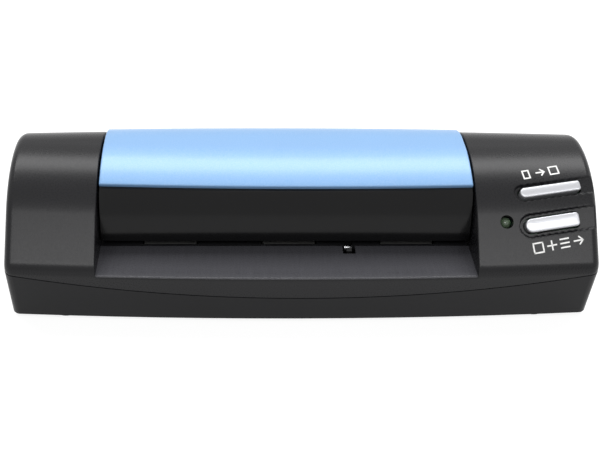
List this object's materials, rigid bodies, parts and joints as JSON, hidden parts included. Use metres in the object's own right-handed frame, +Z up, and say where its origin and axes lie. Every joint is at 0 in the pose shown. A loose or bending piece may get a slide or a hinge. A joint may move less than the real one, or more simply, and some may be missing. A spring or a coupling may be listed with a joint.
{
  "type": "business card scanner",
  "caption": "Small desk scanner for business cards: long arched body, hinged middle cover over a card slot, and push buttons on the right.",
  "frame": {"origin": "on the table under the middle of the overall box, at the underside of the feet", "axes": "+X to the button end, +Y from the card slot to the rear, +Z up"},
  "size_m": [0.165, 0.054, 0.0405],
  "materials": {
    "lower_casing": "moulded ABS, fine texture",
    "upper_casing": "moulded ABS, satin gloss",
    "cover_bar": "moulded ABS, gloss black",
    "cover_panel": "moulded ABS, blue metallic paint under satin lacquer",
    "guide": "moulded, matte",
    "steel": "zinc plated sheet and ground rod",
    "rubber": "moulded rubber",
    "roller_rubber": "ground rubber",
    "gear": "natural acetal",
    "bush": "filled acetal",
    "board": "glass fibre board with solder mask",
    "chip": "epoxy package",
    "platen": "white moulded plastic",
    "glass": "float glass",
    "lens": "rod lens array",
    "button": "silver painted plastic",
    "led": "pale green epoxy",
    "motor": "plated can",
    "socket": "tin plated shell",
    "contact": "black insulator"
  },
  "bodies": {
    "base": {"lower_casing": "lower_casing", "upper_casing": "upper_casing", "rubber_feet": "rubber", "hinge_pins": "steel", "scan_guide": "guide", "left_side_plate": "steel", "right_side_plate": "steel", "shaft_bushes": "bush", "gear_bracket": "steel", "idler_post": "steel", "compound_post": "steel", "motor_body": "motor", "scan_module_housing": "bush", "scan_glass": "glass", "rod_lens": "lens", "sensor_board": "board", "module_springs": "steel", "light_gate": "chip", "sensor_bracket": "bush", "main_board": "board", "board_standoffs": "steel", "board_chips": "chip", "usb_socket": "socket", "usb_contacts": "contact", "push_switches": "chip", "button_boards": "board", "status_led": "led", "casing_screws": "steel"},
    "cover": {"cover_shell": "cover_bar", "cover_panel": "cover_panel", "cover_guide": "guide", "white_platen": "platen", "platen_springs": "steel"},
    "front_pinch": {"front_pinch_rollers": "gear", "front_pinch_shaft": "steel"},
    "rear_pinch": {"rear_pinch_rollers": "gear", "rear_pinch_shaft": "steel"},
    "feed_roller": {"feed_shaft": "steel", "feed_roller_sleeves": "roller_rubber", "feed_gear": "gear", "feed_shaft_clips": "steel"},
    "exit_roller": {"exit_shaft": "steel", "exit_roller_sleeves": "roller_rubber", "exit_gear": "gear", "exit_shaft_clips": "steel"},
    "idler": {"idler_gear": "gear"},
    "compound": {"compound_gear": "gear"},
    "motor_rotor": {"motor_shaft": "steel", "motor_pinion": "gear"},
    "scan_key": {"scan_button": "button"},
    "custom_key": {"custom_button": "button"},
    "card_lever": {"card_sensor_lever": "bush"}
  },
  "joints": [
    {"name": "cover_hinge", "type": "hinge", "parent": "base", "child": "cover", "pos_m": [0, 0.0204, 0.0324], "axis": [-1, 0, 0], "range_deg": [0, 70]},
    {"name": "scan_press", "type": "slide", "parent": "base", "child": "scan_key", "axis": [0, 0.5402, -0.8415], "range_m": [0, 0.0005], "stiffness_N_per_m": 600},
    {"name": "custom_press", "type": "slide", "parent": "base", "child": "custom_key", "axis": [0, 0.7193, -0.6947], "range_m": [0, 0.0005], "stiffness_N_per_m": 600},
    {"name": "feed_turn", "type": "hinge", "parent": "base", "child": "feed_roller", "pos_m": [0, -0.0065, 0.0128], "axis": [1, 0, 0], "continuous": true},
    {"name": "exit_turn", "type": "hinge", "parent": "base", "child": "exit_roller", "pos_m": [0, 0.0164, 0.0128], "axis": [1, 0, 0], "continuous": true},
    {"name": "idler_turn", "type": "hinge", "parent": "base", "child": "idler", "pos_m": [0, 0.00575, 0.01715], "axis": [1, 0, 0], "continuous": true},
    {"name": "compound_turn", "type": "hinge", "parent": "base", "child": "compound", "pos_m": [0, 0.001, 0.02537], "axis": [1, 0, 0], "continuous": true},
    {"name": "motor_turn", "type": "hinge", "parent": "base", "child": "motor_rotor", "pos_m": [0, 0.01034, 0.02179], "axis": [1, 0, 0], "continuous": true},
    {"name": "front_pinch_turn", "type": "hinge", "parent": "cover", "child": "front_pinch", "pos_m": [0, -0.0065, 0.0207], "axis": [1, 0, 0], "continuous": true},
    {"name": "rear_pinch_turn", "type": "hinge", "parent": "cover", "child": "rear_pinch", "pos_m": [0, 0.0156, 0.0207], "axis": [1, 0, 0], "continuous": true},
    {"name": "card_lever_tilt", "type": "hinge", "parent": "base", "child": "card_lever", "pos_m": [0.0133, -0.0138, 0.0125], "axis": [-1, 0, 0], "range_deg": [0, 35], "stiffness_Nm_per_rad": 0.0004}
  ],
  "couplings": [
    {"joint": "exit_turn", "follows": "feed_turn", "ratio": 1.2727},
    {"joint": "idler_turn", "follows": "feed_turn", "ratio": -1.1667},
    {"joint": "compound_turn", "follows": "feed_turn", "ratio": 2},
    {"joint": "motor_turn", "follows": "feed_turn", "ratio": -4.6667}
  ]
}
